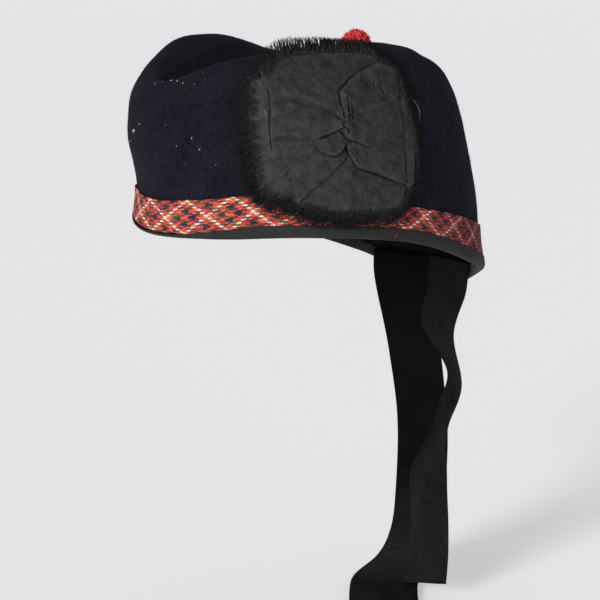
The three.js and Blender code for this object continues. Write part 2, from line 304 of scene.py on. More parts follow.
def finishPiece(piece, finish, slot, *nodes):
    piece.data.materials.clear()
    piece.data.materials.append(finish)
    pick(piece)
    bpy.ops.object.shade_smooth()
    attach(piece, "root")
    if nodes:
        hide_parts(*nodes)
    print(piece.name, "has", sum(len(face.vertices) - 2 for face in piece.data.polygons), "triangles")


def unit(ways):
    return ways / np.linalg.norm(ways, axis=-1, keepdims=True)


# any way across a normal
def anyAside(normal):
    return unit(np.cross(normal, np.array([random.gauss(0, 1) for axis in range(3)])))


def ripple(places, size, seed):
    return np.array([noise.noise(Vector(p) / size + Vector((seed, 3.7 * seed, 0))) for p in places])


def smoothStep(value, low, high):
    share = np.clip((value - low) / (high - low), 0, 1)
    return share * share * (3 - 2 * share)


# how far along a line each of its points lies
def wayAlong(line):
    return np.concatenate([[0], np.cumsum(np.linalg.norm(np.diff(line, axis=0), axis=1))])


# a smooth cubic from b to c
def between(a, b, c, d, share):
    square = (2 * a - 5 * b + 4 * c - d) * share ** 2
    cube = (3 * b - a - 3 * c + d) * share ** 3
    return 0.5 * (2 * b + (c - a) * share + square + cube)


# smooth curve through rows of numbers
def curveThrough(rows, count):
    rows = np.array(rows, float)
    rows = np.vstack([2 * rows[0] - rows[1], rows, 2 * rows[-1] - rows[-2]])
    place = np.linspace(0, len(rows) - 3, count)
    row = np.minimum(place.astype(int), len(rows) - 4)
    return between(*(rows[row + k] for k in range(4)), (place - row)[:, None])


# the same for a closed ring, at any shares of the way round
def roundRing(ring, shares):
    place = np.mod(shares, 1) * len(ring)
    row = place.astype(int)
    return between(*(ring[(row + k) % len(ring)] for k in (-1, 0, 1, 2)), (place - row)[:, None])


# which way a ring runs at each point, where its last point is its first
def ringWay(ring):
    once = ring[..., :-1, :]
    way = np.roll(once, -1, axis=-2) - np.roll(once, 1, axis=-2)
    return np.concatenate([way, way[..., :1, :]], axis=-2)


def degreesFromFront(ring):
    return np.degrees(np.abs(np.arctan2(ring[:, 0], -ring[:, 1])))


# sharp edges that go right round a piece, each sorted from the back by the wearer's right,
# the lowest and widest first
def edgeRings(piece, sharp=50, fewest=60):
    shape = bmesh.new()
    shape.from_mesh(piece.data)
    beside = {}
    for edge in shape.edges:
        if len(edge.link_faces) == 2 and edge.calc_face_angle() > math.radians(sharp):
            for a, b in (edge.verts, reversed(edge.verts)):
                beside.setdefault(a.index, []).append(b.index)
    shape.verts.ensure_lookup_table()
    rings, seen = [], set()
    for start in beside:
        ring, left = [], [start]
        while left:
            k = left.pop()
            if k not in seen:
                seen.add(k)
                ring.append(shape.verts[k].co[:])
                left += beside[k]
        if len(ring) >= fewest:
            ring = np.array(ring)
            turn = np.mod(np.arctan2(ring[:, 0], -ring[:, 1]) + math.pi + 0.01, fullTurn)
            rings.append(ring[np.argsort(turn)])
    shape.free()
    return sorted(rings, key=lambda ring: (round(ring[:, 2].mean(), 3),
                                           -np.hypot(ring[:, 0], ring[:, 1]).mean()))


# many thin threads as one mesh: each is a line of points with a radius at each point
def addThreads(name, threads, sides=3):
    notAlong = (0.31, 0.52, 0.79)  # no thread runs just this way
    turns = [fullTurn * side / sides for side in range(sides)]
    places, faces, shares = [], [], []
    for line, radii in threads:
        line = np.asarray(line, float)
        way = unit(np.gradient(line, axis=0))
        aside = unit(np.cross(way, notAlong))
        other = np.cross(way, aside)
        start, last = len(places), len(line) - 1
        for k in range(len(line)):
            for turn in turns:
                places.append(line[k] + radii[k] * (math.cos(turn) * aside[k] + math.sin(turn) * other[k]))
                shares.append(k / last)
        for k in range(last):
            here, there = start + k * sides, start + (k + 1) * sides
            for side in range(sides):
                after = (side + 1) % sides
                faces.append((here + side, here + after, there + after, there + side))
        faces.append(tuple(start + side for side in reversed(range(sides))))
        faces.append(tuple(start + last * sides + side for side in range(sides)))
    mesh = bpy.data.meshes.new(name)
    mesh.from_pydata([tuple(p) for p in places], [], faces)
    mesh.attributes.new("tip", "FLOAT", "POINT").data.foreach_set("value", shares)
    piece = bpy.data.objects.new(name, mesh)
    bpy.context.collection.objects.link(piece)
    return piece


# thin threads, paler and darker by turns
def threadFinish(name, tone, **sockets):
    finish, tree, shader = startFinish(name, 0.9, **sockets)
    twist = noiseOf(tree, objectPlace(tree), 900.0, 3.0)
    stops = [(0.35, [0.7 * part for part in tone]), (0.65, [min(1.3 * part, 1) for part in tone])]
    paint(tree, shader, colourRamp(tree, twist, stops))
    return finish


# felt crown

feltSpec = {
    "unevenness": 0.5 * mm,
    "unevenSize": 24 * mm,
    # soft pushes by hand: where, which way in millimetres, and how far round it they reach
    "pushes": [
        {"name": "right front, low", "at": (-31, -85, 39), "by": (-1.3, -1.5, 0), "reach": 10},
        {"name": "right front, middle", "at": (-38, -85, 60), "by": (0.6, 0.7, 0), "reach": 14},
        {"name": "right front, high", "at": (-50, -80, 82), "by": (-1.9, -2.2, 1.2), "reach": 14},
        {"name": "front over the band", "at": (12, -96, 44), "by": (0.5, -2.6, -2.4), "reach": 13},
        {"name": "left front over the band", "at": (34, -84, 42), "by": (1.0, -1.5, -1.2), "reach": 12},
        {"name": "right shoulder", "at": (-34, -56, 103), "by": (0, -0.6, 2.4), "reach": 14},
        {"name": "left ridge beside the toorie", "at": (35, 14, 103), "by": (0, 0, 1.5), "reach": 14},
        {"name": "left ridge behind the toorie", "at": (33, 53, 98), "by": (0, -0.5, -2.4), "reach": 13},
        {"name": "left of the back", "at": (42, 76, 54), "by": (-0.8, -1.0, 0), "reach": 18},
    ],
    # the crease is pressed down further between the front and the toorie
    "pressDepth": 17, "pressSide": -4, "pressWidth": 10,
    "pressFront": (-92, -74), "pressBack": (-5, 24), "pressAbove": (60, 74),
    # the rim hangs lower on both sides of the back: by how much, at what angle from the back, how far round
    "droop": 6.5, "droopAt": 26, "droopWidth": 24, "droopBelow": (20, 65),
    "dark": (0.0030, 0.0030, 0.0056),
    "light": (0.0150, 0.0143, 0.0230),
}


def droop(places):
    angle = np.degrees(np.arctan2(np.abs(places[:, 0]), places[:, 1]))
    by = feltSpec["droop"] * np.exp(-((angle - feltSpec["droopAt"]) / feltSpec["droopWidth"]) ** 2)
    lower = places.copy()
    lower[:, 2] -= by * (1 - smoothStep(places[:, 2] / mm, *feltSpec["droopBelow"])) * mm
    return lower


felt = mergedCopy("crown", "feltCrown")
rimOuter, rimInner = (droop(ring) for ring in edgeRings(felt)[:2])
modify(felt, "SUBSURF", levels=2, render_levels=2)
pick(felt)
bpy.ops.object.shade_smooth()
places = droop(corners(felt))
for push in feltSpec["pushes"]:
    apart = np.linalg.norm(places / mm - push["at"], axis=1)
    places = places + np.exp(-(apart / push["reach"]) ** 2)[:, None] * np.array(push["by"]) * mm
x, y, z = (places / mm).T
press = feltSpec["pressDepth"] * np.exp(-((x - feltSpec["pressSide"]) / feltSpec["pressWidth"]) ** 2)
press = press * smoothStep(z, *feltSpec["pressAbove"])
press = press * smoothStep(y, *feltSpec["pressFront"]) * (1 - smoothStep(y, *feltSpec["pressBack"]))
places[:, 2] -= press * mm
setCorners(felt, places)
normals = np.array([v.normal for v in felt.data.vertices])
uneven = ripple(places, feltSpec["unevenSize"], 1) + 0.4 * ripple(places, feltSpec["unevenSize"] / 3, 2)
setCorners(felt, places + normals * (feltSpec["unevenness"] * uneven)[:, None])

feltFinish, tree, shader = startFinish("navyFelt", 0.95, Specular_IOR_Level=0.06, Sheen_Weight=0.03,
                                       Sheen_Roughness=0.5, Sheen_Tint=(0.55, 0.56, 0.75, 1))
place = objectPlace(tree)
nap = noiseOf(tree, place, 620.0, 5.0, Roughness=0.75)
hairs = noiseOf(tree, stretched(tree, place, (1100, 1100, 380)), 1.0, 4.0, Distortion=1.4)
clouds = noiseOf(tree, place, 60.0, 3.0)
mixed = weighted(tree, (nap, 0.42), (hairs, 0.36), (clouds, 0.22))
paint(tree, shader, colourRamp(tree, mixed, [(0.38, feltSpec["dark"]), (0.60, feltSpec["light"])]))
addBump(tree, shader, mixed, 0.8, 0.7 * mm)
finishPiece(felt, feltFinish, "felt", "crown")
feltTree = treeOf(felt)

# loose hairs standing off the felt's outer face
hairSpec = {
    "count": 6500,
    "heart": (0, 0, 0.03),  # outer faces are turned away from here
    "length": (0.6, 1.9),
    "rise": (0.15, 0.75),
    "sunk": 0.05,
    "radii": (0.035, 0.03, 0.015),
    "tone": (0.016, 0.016, 0.024),
}
areas = np.array([face.area for face in felt.data.polygons])
middles = np.array([face.center[:] for face in felt.data.polygons])
facing = np.array([face.normal[:] for face in felt.data.polygons])
outside = (facing * (middles - np.array(hairSpec["heart"]))).sum(axis=1) > 0
chance = np.cumsum(np.where(outside, areas, 0))
threads = []
for k in range(hairSpec["count"]):
    face = int(np.searchsorted(chance, random.random() * chance[-1]))
    normal = facing[face]
    aside = anyAside(normal)
    start = middles[face] + aside * random.uniform(-0.5, 0.5) * mm - normal * hairSpec["sunk"] * mm
    length = random.uniform(*hairSpec["length"]) * mm
    rise = random.uniform(*hairSpec["rise"])
    half = (aside * 0.5 + normal * rise * 0.7) * length
    line = [start, start + half, start + (aside + normal * rise) * length]
    threads.append((line, [radius * mm for radius in hairSpec["radii"]]))
feltHairs = addThreads("feltHairs", threads)
finishPiece(feltHairs, threadFinish("feltHair", hairSpec["tone"], Specular_IOR_Level=0.2), "felt")

# lint: pale tufts of a few short fibres
lintSpec = {
    # where on the felt, fibres, their length in millimetres
    "tufts": [
        ((-12.8, -98.4, 63.6), 6, 2.6), ((-7.4, -98.6, 67.4), 3, 1.2), ((4.9, -96, 39.4), 4, 1.5),
        ((3.4, -96.6, 41.7), 2, 1.8), ((-4.5, -91.4, 87.3), 3, 0.9), ((5.2, -88.9, 89.2), 3, 1.0),
        ((13.6, -87.9, 87.7), 2, 0.9), ((28, -89, 57), 2, 1.3), ((-19, -96.5, 58), 3, 1.0),
        ((18, -95, 58.5), 1, 1.2), ((24.5, -91, 62.6), 2, 1.5), ((28.5, -86.4, 42.3), 1, 0.8),
        ((0, -90.5, 88.4), 1, 0.6), ((9.5, -88.4, 89), 2, 0.6), ((20, -86.5, 88.5), 1, 0.6),
        ((25, -84.5, 92), 1, 0.5), ((-3, -98, 52), 1, 0.7), ((22, -93, 50), 1, 0.6),
        ((11, -96, 68), 1, 0.5), ((35, -85, 50), 1, 0.6),
    ],
    "thickness": 0.11,
    "tone": (0.62, 0.60, 0.55),
}
threads = []
thick = lintSpec["thickness"] * mm
for at, fibres, length in lintSpec["tufts"]:
    hit, normal = feltTree.find_nearest(Vector(at) * mm)[:2]
    normal = np.array(normal)
    for k in range(fibres):
        aside = anyAside(normal)
        reach = length * random.uniform(0.6, 1.1) * mm
        start = np.array(hit) + normal * 0.15 * mm + aside * reach * random.uniform(-0.5, -0.1)
        end = start + aside * reach + normal * random.uniform(0.1, 0.6) * mm
        line = [start, start + aside * 0.5 * reach + normal * 0.35 * mm, end]
        threads.append((line, (0.7 * thick, thick, 0.5 * thick)))
lint = addThreads("lint", threads)
lintFinish = threadFinish("paleLint", lintSpec["tone"])
finishPiece(lint, lintFinish, "felt")


# points moved to the nearest place on the felt
def onFelt(places):
    return np.array([feltTree.find_nearest(Vector(p))[0] for p in places])


# tartan band

bandSpec = {
    "columns": 1000,
    "rows": 18,
    # how far up the wall the part has the band
    "low": 4.9, "high": 22.0,
    # the top edge comes down at the front, over this many degrees on the right and left
    "frontDrop": 5.0, "dropTo": (95, 50),
    # and behind the cockade, where the felt hangs over it
    "sideDrop": 5.5, "sideAt": 93, "sideWidth": 30,
    # so does the lower edge at the front, where the binding turns under
    "frontShare": 0.1, "shareFrom": 4, "shareTo": 38,
    "tuck": 1.4,
    # how far it stands off the felt, with a soft wave and a pucker at the front
    "lift": 0.75 * mm, "edgeLift": 0.3 * mm, "leastLift": 0.2 * mm,
    "wave": 0.25 * mm, "pucker": 1.3 * mm,
    "cloth": 0.4 * mm,
    "repeat": (22.8, 16.8),  # diamonds along and up, in millimetres
    "firstCross": (10.4, 8.0),
    "threads": 22,
    "red": (0.61, 0.082, 0.047),
    "green": (0.020, 0.060, 0.040),
    "navy": (0.022, 0.022, 0.062),
    "white": (0.90, 0.80, 0.66),
    # brightness at the front, what the back loses of it, where along the way round, and the hue at both
    # ends: painted shade that makes the back darker and redder, as if less light reached it
    "frontBrightness": 1.16, "backShade": 0.70, "backShadeFrom": 110.0, "backShadeTo": 230.0,
    "frontHue": 0.485, "backHue": 0.462,
}


# how much of its full height the binding shows, by degrees from the front
def bindingShare(degrees):
    turned = smoothStep(degrees, bandSpec["shareFrom"], bandSpec["shareTo"])
    return bandSpec["frontShare"] + (1 - bandSpec["frontShare"]) * turned


cadBand = mergedCopy("tartan_band", "bandGuide")
rings = edgeRings(cadBand)
lowRing, highRing = droop(rings[0]), droop(rings[2])
bpy.data.objects.remove(cadBand)
columns, rows = bandSpec["columns"], bandSpec["rows"]
band = addGrid("tartanBand", columns, rows)
shares = np.linspace(0, 1, columns + 1)
low, high = roundRing(lowRing, shares), roundRing(highRing, shares)
degrees = degreesFromFront(low)
lowest = bandSpec["low"] * bindingShare(degrees) - bandSpec["tuck"]
dropTo = np.where(low[:, 0] < 0, *bandSpec["dropTo"])
highest = bandSpec["high"] - bandSpec["frontDrop"] * (1 - smoothStep(degrees / dropTo, 0, 1))
behind = np.exp(-((degrees - bandSpec["sideAt"]) / bandSpec["sideWidth"]) ** 2)
highest = highest - np.where(low[:, 0] > 0, bandSpec["sideDrop"] * behind, 0)
share = np.linspace(0, 1, rows + 1)[:, None]
climb = lowest + (highest - lowest) * share
part = ((climb - bandSpec["low"]) / (bandSpec["high"] - bandSpec["low"]))[..., None]
flat = low[None] * (1 - part) + high[None] * part
onWall = onFelt(flat.reshape(-1, 3)).reshape(flat.shape)
outward = unit(np.cross(ringWay(onWall), np.gradient(onWall, axis=0)))
length = wayAlong((low + high) / 2) / mm
length -= np.interp(0.5, shares, length)
lift = bandSpec["lift"] * smoothStep(share, 0, 0.15) + bandSpec["edgeLift"]
lift = lift + bandSpec["wave"] * np.sin(length / 5.3) * np.sin(length / 13.1 + 1) * share
pucker = np.exp(-((length - 1.0) / 2.2) ** 2) - 0.9 * np.exp(-((length + 4.5) / 3.2) ** 2)
lift = lift + bandSpec["pucker"] * pucker * np.sin(math.pi * np.clip(share, 0.05, 0.95))
lift = np.maximum(lift, bandSpec["leastLift"])
setCorners(band, onWall + outward * lift[..., None])
setPattern(band, length[None, :], climb - lowest - bandSpec["tuck"])
closeRibbon(band, bandSpec["cloth"])

bandFinish, tree, shader = startFinish("tartanTwill", 0.85, Specular_IOR_Level=0.25)
spot = patternPlace(tree)[1:]
along, upward = (maths(tree, "DIVIDE", maths(tree, "SUBTRACT", place, first), size)
                 for place, first, size in zip(spot, bandSpec["firstCross"], bandSpec["repeat"]))
# rows of floats go by turns over and under, and each lies one thread further along than the last
count = bandSpec["threads"]
row = maths(tree, "FLOOR", maths(tree, "MULTIPLY", upward, count))
rowUp = maths(tree, "DIVIDE", maths(tree, "ADD", row, 0.5), count)
sett = [("white", 1), ("red", 4), ("green", 4), ("red", 4), ("navy", 4), ("red", 4), ("white", 1)]
starts = np.cumsum([0] + [threadCount for colour, threadCount in sett[:-1]])
stripes = [(start / count, bandSpec[colour]) for start, (colour, threadCount) in zip(starts, sett)]


def threadColour(way):
    thread = maths(tree, "FLOOR", maths(tree, "MULTIPLY", maths(tree, "FRACT", way), count))
    return colourRamp(tree, maths(tree, "DIVIDE", maths(tree, "ADD", thread, 0.5), count), stripes, True)


over = lifted(tree, 0.16, maths(tree, "FLOORED_MODULO", row, 2.0), 0.68)
rising, falling = (threadColour(maths(tree, lean, along, rowUp)) for lean in ("ADD", "SUBTRACT"))
cloth = mixColours(tree, over, rising, falling)
# each float has its own tone and is rounded across; painted shade darkens its ends and the sides where it
# rounds away
floatRound = humps(tree, upward, math.pi * count)
stagger = weighted(tree, (along, 0.5 * count), (row, 0.37))
floatEnd = maths(tree, "POWER", humps(tree, stagger, math.pi), 0.35)
cell = addNode(tree, "CombineXYZ", {0: maths(tree, "FLOOR", stagger), 1: row}).outputs[0]
own = addNode(tree, "TexWhiteNoise", {"Vector": cell}, noise_dimensions="2D").outputs["Value"]
fade = noiseOf(tree, objectPlace(tree), 420.0, 4.0)
wayRound = maths(tree, "ABSOLUTE", spot[0])
# painted shade: darker and redder round the back of the band
backShadeBetween = (bandSpec["backShadeFrom"], bandSpec["backShadeTo"])
backShade = ranged(tree, wayRound, *backShadeBetween, bandSpec["frontBrightness"], bandSpec["frontBrightness"] - bandSpec["backShade"])
redder = ranged(tree, wayRound, *backShadeBetween, bandSpec["frontHue"], bandSpec["backHue"])
# painted shade: darker between the rows and at the ends of the floats
shade = lifted(tree, 0.30, floatRound, 0.80)
for socket, base, gain in ((fade, 0.62, 0.7), (own, 0.62, 0.62), (floatEnd, 0.45, 0.62)):
    shade = maths(tree, "MULTIPLY", shade, lifted(tree, base, socket, gain))
shade = maths(tree, "MULTIPLY", shade, backShade)
hue = lifted(tree, redder, own, 0.03)
# each float's tone and hue, with the painted shade of the floats and of the back of the band
wearAndPaintedLight = addNode(tree, "HueSaturation", {"Hue": hue, "Color": cloth, "Saturation": 1.0, "Value": shade})
paint(tree, shader, wearAndPaintedLight.outputs[0])
addBump(tree, shader, floatRound, 0.6, 0.22 * mm)
finishPiece(band, bandFinish, "tartan", "tartan_band")


# ribbon binding, folded over the rim

bindingSpec = {
    "columns": 900,
    "rows": 26,
    # climb up the wall and lift off its outer face, from the outer edge under the rim to the inner edge
    "profile": [(5.2, 0.85), (4.7, 1.3), (3.4, 1.45), (1.6, 1.5), (0.2, 1.4), (-0.8, 0.8), (-1.25, -0.3),
                (-1.25, -1.7), (-0.8, -2.8), (0.2, -3.3), (2.0, -3.4), (3.8, -3.3), (5.0, -2.9)],
    "puff": 0.05,
    "cloth": 0.4 * mm,
    "ribs": 0.55, "relief": 0.12 * mm,
    "dark": (0.0125, 0.0128, 0.0132),
    "light": (0.0325, 0.0330, 0.0332),
}
columns, rows = bindingSpec["columns"], bindingSpec["rows"]
binding = addGrid("rimBinding", columns, rows)
shares = np.linspace(0, 1, columns + 1)
outer, inner = roundRing(rimOuter, shares), roundRing(rimInner, shares)
out = unit(outer - inner)
rise = unit(np.cross(out, ringWay(outer)))
profile = curveThrough(bindingSpec["profile"], rows + 1)[::-1] * mm
up, off = profile[:, :1], profile[:, 1:]
length, depth = wayAlong(outer) / mm, wayAlong(profile) / mm
puff = 1 + bindingSpec["puff"] * np.sin(length / 7.1) * np.sin(length / 17.3 + 0.6)
puff[-1] = puff[0]
lift = np.maximum(off, 0) * puff + np.minimum(off, 0)
shown = np.where((up > 0) & (off > 0), 1, 0)
climb = up * (1 - shown + shown * bindingShare(degreesFromFront(outer)))
setCorners(binding, outer + rise * climb[..., None] + out * lift[..., None])
setPattern(binding, length[None, :], depth[:, None])
closeRibbon(binding, bindingSpec["cloth"])


# a plain ribbon: fine ribs across it, slubs and soft wear. Ribs are in millimetres of its own length.
def ribbonFinish(name, spec, roughness, **sockets):
    finish, tree, shader = startFinish(name, roughness, **sockets)
    place, along, across = patternPlace(tree)
    rib = humps(tree, along, math.pi / spec["ribs"])
    crossing = humps(tree, across, 0.8 * math.pi / spec["ribs"])
    weave = maths(tree, "MULTIPLY", rib, lifted(tree, 0.6, crossing, 0.4))
    slubs = noiseOf(tree, stretched(tree, place, (1.4, 0.12, 1)), 1.0, 4.0)
    wear = noiseOf(tree, objectPlace(tree), 70.0, 5.0, Roughness=0.6)
    tone = weighted(tree, (slubs, 0.4), (wear, 0.4), (weave, 0.2))
    cloth = colourRamp(tree, tone, [(0.35, spec["dark"]), (0.68, spec["light"])])
    # painted light: the ribbon gets paler towards its end, as if lit by light bounced off the floor
    if "paintedEndLight" in spec:  # paler towards the end
        paintedEndLight = spec["paintedEndLight"]
        paler = ranged(tree, along, paintedEndLight["from"], paintedEndLight["to"], 1.0, paintedEndLight["gain"],
                       interpolation_type="SMOOTHSTEP")
        cloth = addNode(tree, "HueSaturation", {"Color": cloth, "Value": paler}).outputs[0]
    paint(tree, shader, cloth)
    addBump(tree, shader, lifted(tree, weave, slubs, 0.6), 0.6, spec["relief"])
    return finish


bindingFinish = ribbonFinish("charcoalRibbon", bindingSpec, 0.7, Specular_IOR_Level=0.15, Sheen_Weight=0.02)
finishPiece(binding, bindingFinish, "binding_ribbon", "rim_binding")


# cockade: a gathered ribbon square, its flaps folded over each other round a knot

cockadeSpec = {
    "middle": Vector((64.0, -29.5, 64.3)) * mm,
    "outward": Vector((0.906, -0.285, 0.312)).normalized(),
    "cells": 305,
    "backCells": 61,
    # the edge, once round from the wearer's back, in millimetres to the back and up
    "edge": [(41, -4), (40, 10), (39.5, 26), (37, 34.5), (29, 38), (26, 42.5), (14, 43), (-2, 42.5),
             (-20, 41), (-29, 38), (-36, 31), (-44, 26.5), (-46.5, 8), (-46, -9), (-43.5, -22),
             (-38.5, -28.5), (-29, -31), (-23, -34.5), (-14, -37.5), (-2, -39), (10, -39.5), (24, -38.5),
             (28.5, -36), (31.5, -29.5), (37, -25.5), (40, -15)],
    # heights off the wall in millimetres, and how far the puff reaches
    "floor": 1.1, "least": 0.25,
    "puff": 1.3, "puffReach": 34,
    # it is lifted over the band, below the second of these heights
    "overBand": 2.0, "bandTop": (-29, -19),
    # uneven cloth: height, size, seed
    "ripples": [(0.7, 13, 4), (0.55, 5, 5), (0.24, 2.2, 6)],
    "wander": 0.5, "wanderSize": 5,
    # how wide a fold's rolled edge, its groove and its painted shadow line are
    "roll": 0.45, "groove": 0.34, "line": 0.22,
    # the edge lies flat over this share of the way out, and is worn over that one
    "edgeShare": 0.05, "wornShare": 0.12,
    # how pale the crests of the folds are, partly rubbed wear and partly painted highlight, and how worn the
    # front edge and the whole edge are
    "crestWearAndHighlight": 2.2, "crestMost": 0.5, "frontWear": 0.55, "edgeWear": 0.45,
    "weft": 0.45, "warp": 0.60,
    "dark": (0.0080, 0.0080, 0.0088),
    "light": (0.049, 0.049, 0.051),
    "wearAndPaintedLight": (0.080, 0.080, 0.078),
    "shadow": (0.0016, 0.0016, 0.0018),
}
# each fold: how much higher its left side lies, how far that reaches, how deep the shadow line is cut, how
# much of that is lost by its end, the shares of its length over which it comes and goes, how soft it is,
# and its line
foldColumns = ("name", "step", "reach", "cut", "loss", "comes", "goes", "soft", "line")
cockadeFolds = [dict(zip(foldColumns, fold)) for fold in (
    ("right over top", 1.5, 12, 1.1, -0.5, 0.3, 0.02, 1,
     [(38, 41), (31, 36.8), (26, 35.2), (18, 31.8), (10, 27.2), (3.6, 22.6), (0, 19)]),
    ("right over bottom", 2.0, 11, 2.2, 0.5, 0.03, 0.16, 1.3,
     [(-0.3, -6.5), (2, -12), (5.4, -17.2), (12.5, -19.8), (21.5, -23), (30.5, -26.6), (39, -30)]),
    ("right inner line", 0.5, 1.4, 1.2, 0.2, 0.1, 0.2, 1, [(0.6, -7.2), (3.5, -11.2), (6.4, -16.2)]),
    ("left over bottom", 0.7, 9, 0.7, -0.2, 0.2, 0.06, 5.0,
     [(-31, -38), (-24.5, -32), (-16.5, -26), (-8.5, -20.5), (-2, -14.5), (0.7, -11)]),
    ("knot top", -1.0, 4, 2.2, 0, 0.05, 0.05, 1, [(0.5, 5), (0.9, 9.7), (0.3, 14.3), (0, 19.3)]),
    ("knot gather", 0.9, 2.0, 1.3, 0.3, 0.1, 0.3, 1, [(2.6, 7), (3.3, 13.5), (2.2, 19.5)]),
    ("knot outer gather", 0.7, 2.4, 0.9, 0.3, 0.1, 0.4, 1, [(4.4, 5), (5.4, 11.6), (5.8, 18)]),
    ("knot cross", 0.6, 1.6, 1.5, 0.3, 0.15, 0.3, 1, [(1.5, 6.6), (3.6, 7.6), (6.2, 7.2)]),
    ("knot pinch", -0.8, 2.0, 2.0, 0, 0.2, 0.25, 1.4, [(-1.6, 3.4), (0.3, 1.2), (1.3, -1.8)]),
    ("knot left", -1.1, 5, 2.2, 0.4, 0.05, 0.2, 1.5, [(0.6, 4), (-2, 6.4), (-3.8, 9.6)]),
    ("knot foot", 1.4, 6, 2.3, 0.5, 0.06, 0.4, 1.5,
     [(-2.6, 1), (0.8, -3.2), (5.6, -5.6), (11, -7.5), (16.5, -7)]),
    ("petal top", 1.3, 5, 1.1, -0.4, 0.45, 0.05, 1.7, [(-17, -2.8), (-12.7, -2.5), (-7.2, -1), (0, 2.3)]),
    ("petal foot", 1.5, 3.5, 1.5, 0, 0.4, 0.12, 1,
     [(-15.2, -4.6), (-12, -9.6), (-6, -11.6), (-1.8, -9), (0.2, -4.6)]),
    ("hem", 0.4, 7, 0.7, 0.4, 0.15, 0.25, 4.2, [(29, -33), (32, -16.5), (33.6, 0), (35.2, 19), (38, 34)]),
    ("top hem", 0.3, 5, 0.5, 0, 0.2, 0.2, 1, [(22, 41), (0, 41.2), (-15, 39.6)]),
    ("right crinkle", 0.5, 1.6, 0.8, 0, 0.3, 0.3, 1, [(22.5, 27), (21.8, 22), (22.8, 17)]),
    ("right outer crinkle", 0.5, 1.6, 0.9, 0, 0.3, 0.3, 1, [(26.3, 31), (25.6, 25), (26.6, 17)]),
    ("stitch line", -0.5, 5, 1.5, 0, 0.1, 0.1, 1, [(-35.8, -7.5), (-36.4, 4), (-34.9, 14), (-34.5, 24)]),
)]
# soft pleats: the height (a valley is below zero), the half width and the line
pleatColumns = ("name", "height", "width", "line")
cockadePleats = [dict(zip(pleatColumns, pleat)) for pleat in (
    ("upper left", -1.3, 1.3, [(-3.5, 9), (-10, 11.6), (-17, 14.5), (-25, 17), (-35, 15.5)]),
    ("upper left ridge", 0.8, 2.6, [(-5, 12), (-12, 15.5), (-20, 19), (-30, 21)]),
    ("lower left", -1.1, 1.0, [(-13, -2.5), (-23, -2.2), (-31, -1.2), (-38, -2)]),
    ("left roll", 1.3, 4.5, [(-6, 4), (-16, 5), (-28, 5.5)]),
    ("right ridge", 1.0, 1.7, [(4.8, 8.7), (13.5, 11), (23.5, 13.5), (31, 15)]),
    ("right hollow", -0.8, 3.5, [(7, 13), (16, 18), (26, 25)]),
    ("right belly", 0.9, 5.0, [(10, 2), (20, 3), (31, 5)]),
    ("right low ridge", 0.7, 2.6, [(10, -11), (20, -12), (31, -15)]),
    ("low crinkle", -0.8, 0.7, [(23, -10), (27, -11), (31, -15)]),
    ("low outer crinkle", -0.7, 0.9, [(24, -6), (29, -6.5), (33, -6)]),
    ("high pucker", -1.1, 1.2, [(-47, 19), (-42, 18), (-37, 18.5)]),
    ("middle pucker", -1.3, 1.2, [(-47, 8), (-42, 7), (-37, 7.5)]),
    ("low pucker", -1.1, 1.2, [(-47, -4), (-42, -5), (-37, -4)]),
    ("left ruck", -0.8, 1.4, [(-45, -12), (-36, -11.5), (-27, -10)]),
    ("low left ruck", -0.9, 1.6, [(-40, -23), (-32, -20), (-24, -18.5)]),
    ("bottom middle", 0.7, 4.0, [(2, -18), (-1, -27), (-3, -38)]),
    ("lower left roll", 0.9, 4.5, [(-10, -13), (-22, -19), (-35, -22)]),
    ("lower left pleat", -0.7, 1.6, [(-17, -10), (-28, -13), (-39, -14)]),
    ("top pleat", 0.5, 4.0, [(-3, 22), (-6, 31), (-8, 41)]),
    ("knot", 1.8, 4.0, [(-1, 9), (0.5, 4), (0, -2)]),
)]


# how far places lie to the left of a fold, and how far along it
def besideFold(places, line, steps=90, close=2.5):
    line = curveThrough(line, steps)
    gap = places[:, None, :] - line[None]
    near = (gap ** 2).sum(2).argmin(1)
    gap = gap[np.arange(len(places)), near]
    way = unit(np.gradient(line, axis=0))[near]
    aside = way[:, 0] * gap[:, 1] - way[:, 1] * gap[:, 0]
    apart = np.linalg.norm(gap, axis=1)
    return np.where(apart < close, aside, np.sign(aside) * apart), near / (steps - 1)


